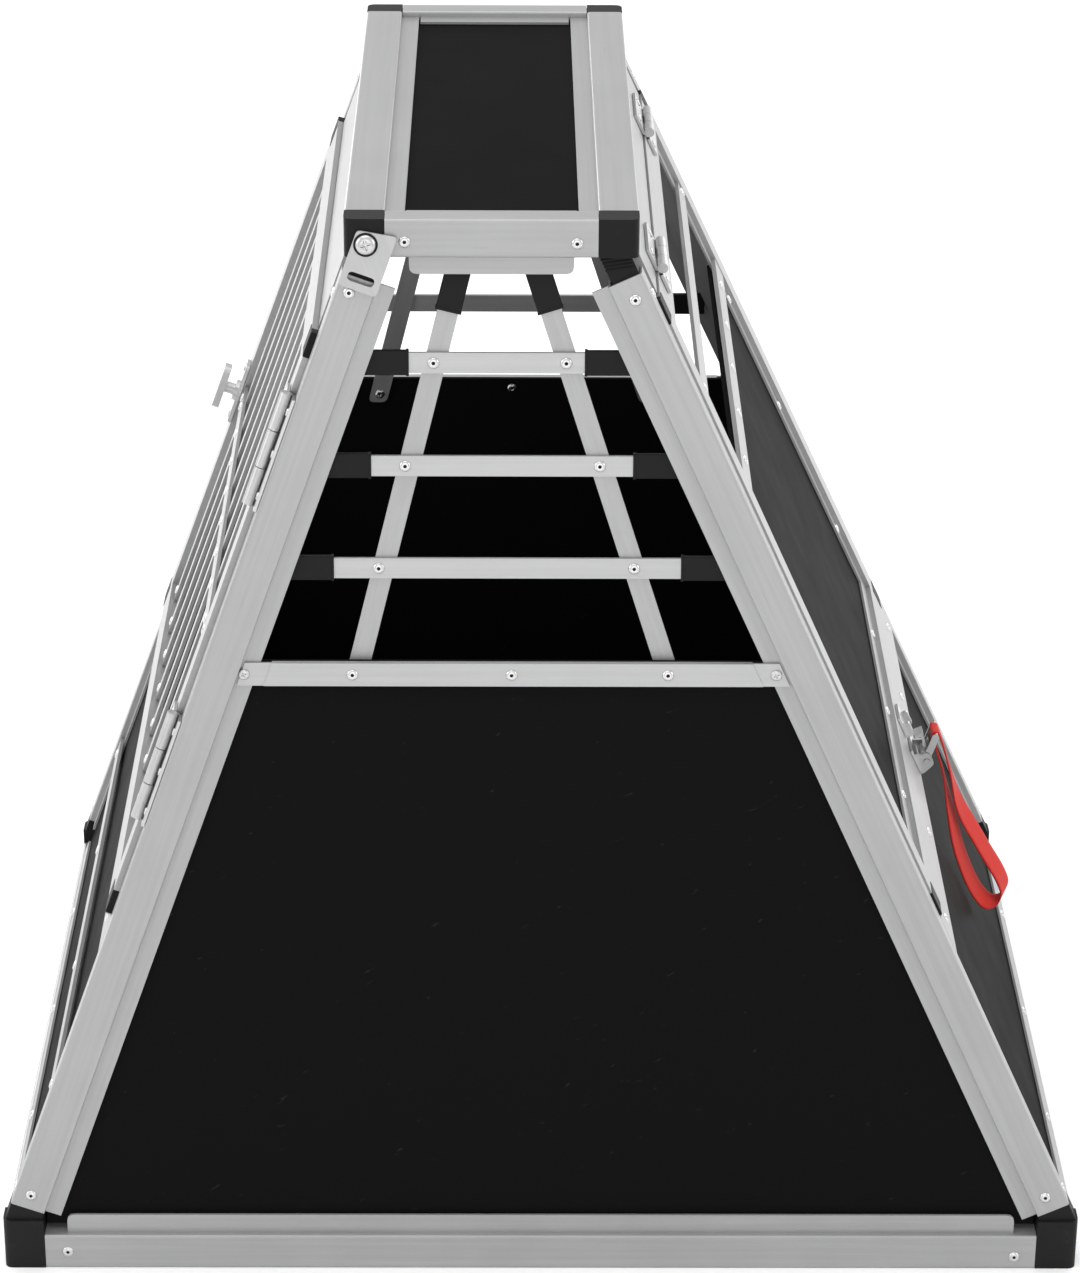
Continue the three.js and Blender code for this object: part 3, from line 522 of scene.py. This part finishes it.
for side, (wall, sign) in end_walls.items():
    places = [wall.frame(sign * y, z) for y, z in post_rivet_yz]
    places += [wall.frame(sign * y, mid_rail_z, mid_rail_face) for y in mid_rail_rivet_y]
    places += [wall.frame(sign * y, z, bar_face) for z, pair in bar_rivet_y for y in pair]
    places += [upright_place(sign, cad_high.x, y, z) for y, z in base_rail_rivets]
    places += [upright_place(sign, roof_rail_high.x, y, z) for y, z in roof_rail_rivets]
    rivets(f"end_rivets_{side}", places, "frame")
    tails = []
    for foot, head in strap_ends:
        z = strap_foot_z + strap_rivet_rise
        y = strap_y(foot, head, z)
        tails.append(wall.frame(sign * y, z, strap_face - bar_thick) @ turned_over)
    tails.append(wall.frame(sign * mid_rail_rivet_y[1], mid_rail_z, mid_rail_back) @ turned_over)
    rivets(f"strap_tails_{side}", tails, "frame")

cross_rail_z, sill_bar_z, sill_bar_face = 0.2755, 0.138, -0.0018
post_side_rivet_z = (0.066, 0.786)
cross_rail_rivet_inset = (0.048, 0.190)
lower_panel_rivet_x, lower_panel_rivet_z = (-0.17, 0.0, 0.17), (0.252, 0.0385)
sill_rivet_x = (-0.285, -0.1, 0.1, 0.285)
side_places = []
for wall in (walls["front"], walls["back"]):
    for sign in (1, -1):
        side_places += [wall.frame(sign * (end_x(z) - profile_depth / 2), z) for z in post_side_rivet_z]
        for inset in cross_rail_rivet_inset:
            side_places.append(wall.frame(sign * (end_x(cross_rail_z) - inset), cross_rail_z))
    for x in lower_panel_rivet_x:
        side_places += [wall.frame(x, z, -flange_recess) for z in lower_panel_rivet_z]
side_places += [walls["front"].frame(x, sill_bar_z, sill_bar_face) for x in sill_rivet_x]
rivets("side_rivets", side_places, "frame")


# ---- Screws ----
# Zinc-plated pan-head screws with a cross recess hold the mid rails to the posts and
# the hinge leaves to their frames.
screw_steps = 24


def pan_head(radius, height):
    profile = [(0, -0.0004), (radius, -0.0004), (radius, height * 0.35), (radius * 0.86, height * 0.75),
               (radius * 0.55, height * 0.96), (0, height)]
    head = bpy.data.objects.new("head", turned(profile, screw_steps))
    cutter_mesh = bmesh.new()
    for spin in (0, math.pi / 2):
        size = (radius * 1.05, radius * 0.2, height)
        lift = Matrix.Translation((0, 0, height * 0.95))
        rounded_box(cutter_mesh, size, lift @ Matrix.Rotation(spin, 4, "Z"), radius * 0.04, 1)
    cutter = bpy.data.objects.new("cutter", bpy.data.meshes.new("cutter"))
    cutter_mesh.to_mesh(cutter.data)
    cutter_mesh.free()
    for thing in (head, cutter):
        bpy.context.scene.collection.objects.link(thing)
    cross = head.modifiers.new("cross", "BOOLEAN")
    cross.operation = "DIFFERENCE"
    cross.solver = "EXACT"
    cross.use_self = True
    cross.object = cutter
    bpy.context.view_layer.update()
    shaped = bpy.data.meshes.new_from_object(head.evaluated_get(bpy.context.evaluated_depsgraph_get()))
    for thing in (head, cutter):
        bpy.data.objects.remove(thing)
    return shaped


small_screw = pan_head(0.0042, 0.0017)
hinge_screw = pan_head(0.0032, 0.0012)
latch_screw = pan_head(0.0034, 0.0014)
bracket_screw = pan_head(0.0074, 0.0032)
mid_rail_screw_y = (-0.2225, 0.1725)
mid_rail_end_face = -0.0026
screw_spin = 0.4
zinc = plain_metal("zinc_plate", 0.55, 0.24)


def screws(name, places, body, shape=small_screw):
    add_copies(name, shape, places, [zinc], body)


for side, (wall, sign) in end_walls.items():
    places = [wall.frame(sign * y, mid_rail_z, mid_rail_end_face, screw_spin) for y in mid_rail_screw_y]
    screws(f"mid_rail_screws_{side}", places, "frame")


# ---- Tie-down bracket ----
# A pressed aluminium plate screwed to the near roof corner, with a slot for a strap
# hook. A dark washer sits under the big screw.
bracket_tone = 0.4
finish_node("tie_bracket", anodised("bracket_aluminium", (0, -0.3357, 0.94), bracket_tone))
bracket_y, bracket_z, bracket_face, bracket_spin = -0.1286, 0.8255, 0.0046, 0.3
bracket_place = walls["right"].frame(bracket_y, bracket_z, bracket_face, bracket_spin)
washer_steps = 32
washer_profile = [(0.0062, -0.0004), (0.0088, -0.0004), (0.0088, 0.0006), (0.0062, 0.0006),
                  (0.0062, -0.0004)]
washer = turned(washer_profile, washer_steps)
add_copies("bracket_washer", washer, [bracket_place], [black_nylon], "frame")
screws("bracket_screw", [bracket_place], "frame", bracket_screw)


# ---- Front door ----
# A mitred frame of flat aluminium box, eight fanned flat bars and a cross bar riveted
# in, black plastic corner caps, two knuckle hinges and a turning latch.
front = walls["front"]
finish_node("door_frame", silver_x)
finish_node("door_grille", anodised("anodised_door_bars", (0, front.up.y, front.up.z)))
leaf_inset = profile_depth + 0.0012
leaf_lap = 0.0015
overlap = 0.0002
leaf_foot = 0.2914
door_top = 0.750
door_face, leaf_back = 0.0045, -0.0046
door_cross_z = 0.505
door_bars = 8


def door_bar_x(index, z):
    share = 2 * index / (door_bars - 1) - 1
    low = leaf_foot + (profile_face + leaf_lap) / front.stretch
    high = door_top - (profile_face + leaf_lap) / front.stretch

    def spread(level):
        return end_x(level) - leaf_inset - profile_face - flange_width - bar_width

    start, end = share * spread(low), share * spread(high)
    return start + (end - start) * (z - low) / (high - low)


bar_level = leaf_back + 0.0023 + bar_thick
cross_level = bar_level + bar_thick - overlap
bar_rivet_inset, cross_rivet_inset = 0.0352, 0.009
door_places = []
for index in range(door_bars):
    door_places.append(front.frame(door_bar_x(index, door_cross_z), door_cross_z, cross_level))
    for z in (leaf_foot + bar_rivet_inset, door_top - bar_rivet_inset):
        door_places.append(front.frame(door_bar_x(index, z), z, bar_level))
for sign in (1, -1):
    x = sign * (end_x(door_cross_z) - leaf_inset - profile_face - cross_rivet_inset)
    door_places.append(front.frame(x, door_cross_z, cross_level))
rivets("door_rivets", door_places, "door")


def corner_caps(name, wall, top, face, body):
    """Thin plastic covers, an arm along each side of the leaf's corners."""
    mesh = bmesh.new()
    skin = 0.0005
    arm, reach = 0.020, 0.022
    level = (face + leaf_back) / 2
    thick = face - leaf_back + 2 * skin
    for sign in (1, -1):
        for z_edge, upward in ((leaf_foot, 1), (top, -1)):
            z_mid = z_edge + upward * (arm / 2) / wall.stretch
            x_mid = sign * (end_x(z_mid) - leaf_inset - reach / 2 + skin)
            spin = sign * math.atan2(end_x(0) - end_x(1), wall.stretch)
            rounded_box(mesh, (reach, arm, thick), wall.frame(x_mid, z_mid, level, spin), 0.0009, 3)
    add_piece(name, mesh, [black_nylon], body)


corner_caps("door_corner_caps", front, door_top, door_face, "door")


# Hinges: zinc-plated steel leaves with three knuckles, each leaf held by screws.
def brushed(name, along, tone=0.5):
    material, shader, place = new_material(name, 1.0)
    brush = place.drawn_out(Vector(along).normalized(), 0.98).noise(2100, 2)
    cloud = place.noise(60, 3)
    colour = (cloud * 0.5 + brush * 0.5).blend(grey(tone * 0.86), grey(tone * 1.12))
    feed(shader, colour, brush * 0.16 + cloud * 0.1 + 0.22, brush, 0.00005)
    return material


hinge_steel = brushed("hinge_steel", (0, 0.34, 0.94))
door_lean = math.atan2(end_x(0) - end_x(1), front.stretch)
door_hinge_inset = 0.016
hinge_face = profile_gap + 0.0022
door_hinge_z = (0.415, 0.664)
door_screw_steps, door_fixed_x, door_moving_x = (-0.034, 0, 0.034), 0.0096, -0.0165


def hinge(name, steel, middle, fixed_spots, moving_spots, leaf_face, leaf_body):
    for leaf in ("frame_leaf", "moving_leaf"):
        finish_node(f"{name}_{leaf}", steel)
    fixed = [middle @ Matrix.Translation((*spot, hinge_face)) for spot in fixed_spots]
    moving = [middle @ Matrix.Translation((*spot, leaf_face + hinge_face)) for spot in moving_spots]
    screws(f"{name}_frame_screws", fixed, "frame", hinge_screw)
    screws(f"{name}_leaf_screws", moving, leaf_body, hinge_screw)


for number, z in enumerate(door_hinge_z, 1):
    hinge(f"door_hinge_{number}", hinge_steel, front.frame(end_x(z) - door_hinge_inset, z, 0, door_lean),
          [(door_fixed_x, step) for step in door_screw_steps],
          [(door_moving_x, step) for step in door_screw_steps], door_face, "door")

latch_steel = brushed("latch_steel", (1, 0, 0), 0.56)
finish_node("door_latch_base", latch_steel)
finish_node("door_latch_handle", latch_steel)
latch_z, latch_inset, latch_plate_thick = 0.503, 0.042, 0.003
latch_x = -(end_x(latch_z) - latch_inset)
latch_middle = front.frame(latch_x, latch_z, door_face + profile_gap + latch_plate_thick)
latch_screw_places = [latch_middle @ Matrix.Translation((0, step, 0)) for step in (-0.023, 0.023)]
screws("door_latch_screws", latch_screw_places, "door", latch_screw)


# ---- Escape hatch ----
# A top-hinged leaf: the same flat frame with a window sill and bar, a black panel
# below, black corner caps, and two knuckle hinges on the header.
back = walls["back"]
hatch_top = 0.7755
hatch_face = 0.0015
finish_node("hatch_frame", silver_x)
corner_caps("hatch_corner_caps", back, hatch_top, hatch_face, "hatch")
window_sill_z, hatch_bar_z = 0.626, 0.697
window_sill_face = hatch_face - 0.0007
hatch_flange_face = leaf_back + 0.002
foot_flange_z = leaf_foot + 0.0325
window_sill_rivet_x, foot_rivet_x = (-0.19, -0.095, 0.0, 0.095, 0.19), (-0.15, 0.0, 0.15)
flange_rivet_z = (0.38, 0.5, 0.6)
hatch_places = [back.frame(x, window_sill_z, window_sill_face) for x in window_sill_rivet_x]
for sign in (1, -1):
    x = sign * (end_x(hatch_bar_z) - leaf_inset - profile_face - flange_width / 2)
    hatch_places.append(back.frame(x, hatch_bar_z, hatch_flange_face + bar_thick))
    for z in flange_rivet_z:
        x = sign * (end_x(z) - leaf_inset - profile_face - flange_width / 2)
        hatch_places.append(back.frame(x, z, hatch_flange_face))
hatch_places += [back.frame(x, foot_flange_z, hatch_flange_face) for x in foot_rivet_x]
rivets("hatch_rivets", hatch_places, "hatch")

hatch_steel = brushed("hatch_hinge_steel", (1, 0, 0))
hinge_line_z = hatch_top + 0.0007
hatch_hinge_x = (-0.16, 0.16)
hatch_screw_steps, hatch_fixed_y, hatch_moving_y = (-0.02, 0.02), 0.0118, -0.0135
for number, x in enumerate(hatch_hinge_x, 1):
    hinge(f"hatch_hinge_{number}", hatch_steel, back.frame(x, hinge_line_z),
          [(step, hatch_fixed_y) for step in hatch_screw_steps],
          [(step, hatch_moving_y) for step in hatch_screw_steps], hatch_face, "hatch")


# ---- Hatch latch ----
# A pressed-steel lever between two ears, turned by the strap, with a wire spring wound
# round its barrel. The keeper sits on the hatch just above.
for latch_node in ("hatch_latch_base", "hatch_latch_lever", "hatch_latch_keeper"):
    finish_node(latch_node, latch_steel)
pivot_x, pivot_z, pivot_lift = 0.020, 0.270, 0.009
pivot = back.frame(pivot_x, pivot_z, pivot_lift)
spring_wire, spring_radius, spring_length = 0.00045, 0.0047, 0.017
turns, per_turn = 5, 20
spring_curve = bpy.data.curves.new("spring_path", "CURVE")
spring_curve.dimensions = "3D"
spring_curve.bevel_depth = spring_wire
spring_curve.bevel_resolution = 2
spring_path = spring_curve.splines.new("POLY")
spring_points = []
for step in range(turns * per_turn + 1):
    angle = math.tau * step / per_turn
    across = spring_length * (step / (turns * per_turn) - 0.5)
    spot = Vector((across, spring_radius * math.cos(angle), spring_radius * math.sin(angle)))
    spring_points.append(pivot @ spot)
spring_path.points.add(len(spring_points) - 1)
for point, spot in zip(spring_path.points, spring_points):
    point.co = (*spot, 1)
spring_shape = bpy.data.objects.new("spring_shape", spring_curve)
bpy.context.scene.collection.objects.link(spring_shape)
bpy.context.view_layer.update()
spring_seen = spring_shape.evaluated_get(bpy.context.evaluated_depsgraph_get())
spring_data = bpy.data.meshes.new_from_object(spring_seen)
bpy.data.objects.remove(spring_shape)
spring_mesh = bmesh.new()
spring_mesh.from_mesh(spring_data)
add_piece("latch_spring", spring_mesh, [zinc], "hatch_lever")


# ---- Pull strap ----
# Red polyester webbing folded over the lever's bar and sewn to itself, so that it hangs
# in a long slightly twisted loop. The weave shows as fine ribs across its width.
strap_width, strap_thick = 0.019, 0.0014
bar_up, bar_lift = 0.016, 0.015
wrap = 0.0030
loop_points = [(bar_up + wrap, bar_lift), (bar_up, bar_lift + wrap), (-0.020, 0.0135), (-0.058, 0.008),
               (-0.105, 0.011), (-0.146, 0.0135), (-0.156, 0.005), (-0.144, -0.007), (-0.100, -0.008),
               (-0.055, 0.0), (-0.022, 0.007), (bar_up - 0.0038, bar_lift - wrap - 0.0002),
               (bar_up + wrap - 0.001, bar_lift - wrap + 0.001)]
leg_spread, strap_twist = 0.005, 0.45
opens_from, opens_over = 0.010, 0.070
leg_middle, leg_reach = 0.003, 0.006
ribs_per_metre, yarns_across = 900, 11
steps_between_points, columns = 9, 8


def webbing():
    material, shader, place = new_material("red_webbing", 0.0, 0.2, Sheen_Weight=0.08, Sheen_Roughness=0.4)
    tree = place.tree
    uv = Wire(tree, tree.nodes["Texture Coordinate"].outputs["UV"])
    across = uv.node("ShaderNodeSeparateXYZ", {}, {"Vector": uv}, output=0)
    along = uv.node("ShaderNodeSeparateXYZ", {}, {"Vector": uv}, output=1)
    ribs = along.maths("SINE", along * math.tau * ribs_per_metre)
    yarns = across * math.tau * yarns_across + ribs * 0.6
    weave = yarns.maths("SINE", yarns)
    edge = across.maths("ABSOLUTE", across - 0.5).between(0.44, 0.49)
    fibre = place.noise(4200, 2)
    shade = weave * 0.22 + ribs * 0.18 + fibre * 0.4 + 0.3
    colour = shade.between(0.1, 0.95).blend((0.36, 0.01, 0.007, 1), (0.74, 0.032, 0.02, 1))
    colour = (edge * 0.35).blend(colour, (0.42, 0.014, 0.009, 1))
    feed(shader, colour, 0.62 + fibre * 0.25, weave * 0.5 + ribs * 0.5, 0.00025)
    return material


def smooth_loop(points, steps):
    """A closed smooth curve through the points, with even short chords."""
    found = []
    count = len(points)
    for index in range(count):
        before, start, end, after = (Vector((*points[(index + k) % count], 0)) for k in (-1, 0, 1, 2))
        length = (end - start).length
        slope_in = (end - before).normalized() * length
        slope_out = (after - start).normalized() * length
        for step in range(steps):
            t = step / steps
            t2, t3 = t * t, t * t * t
            found.append(start * (2 * t3 - 3 * t2 + 1) + slope_in * (t3 - 2 * t2 + t)
                         + end * (3 * t2 - 2 * t3) + slope_out * (t3 - t2))
    return found


def on_strap(spot, sideways):
    """Where a point of the webbing hangs, its width given about the loop's own line."""
    drop = min(1.0, max(0.0, (-spot.x - opens_from) / opens_over))
    hang = drop * drop * (3 - 2 * drop)
    leg = min(1.0, max(-1.0, (spot.y - leg_middle) / leg_reach))
    across = sideways + leg_spread * hang * leg
    return pivot @ Vector((across, spot.x, spot.y + sideways * strap_twist * hang))


loop = smooth_loop(loop_points, steps_between_points)
runs = [0.0]
for spot, following in zip(loop, loop[1:] + loop[:1]):
    runs.append(runs[-1] + (following - spot).length)
strap_mesh = bmesh.new()
weave_layer = strap_mesh.loops.layers.uv.new("weave")
bmesh.ops.create_grid(strap_mesh, x_segments=columns, y_segments=len(loop), size=0.5)
cells = {}
for vert in strap_mesh.verts:
    cells[vert] = (round((vert.co.x + 0.5) * columns), round((vert.co.y + 0.5) * len(loop)))
for face in strap_mesh.faces:
    face.smooth = True
    for corner in face.loops:
        column, row = cells[corner.vert]
        corner[weave_layer].uv = (column / columns, runs[row])
for vert, (column, row) in cells.items():
    vert.co = on_strap(loop[row % len(loop)], (column / columns - 0.5) * strap_width)
seam = [vert for vert, (column, row) in cells.items() if row in (0, len(loop))]
bmesh.ops.remove_doubles(strap_mesh, verts=seam, dist=1e-6)
strap_piece = add_piece("red_pull_strap", strap_mesh, [webbing()], "strap")
thickness = strap_piece.modifiers.new("thickness", "SOLIDIFY")
thickness.thickness = strap_thick
thickness.offset = 0
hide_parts("pull_strap")
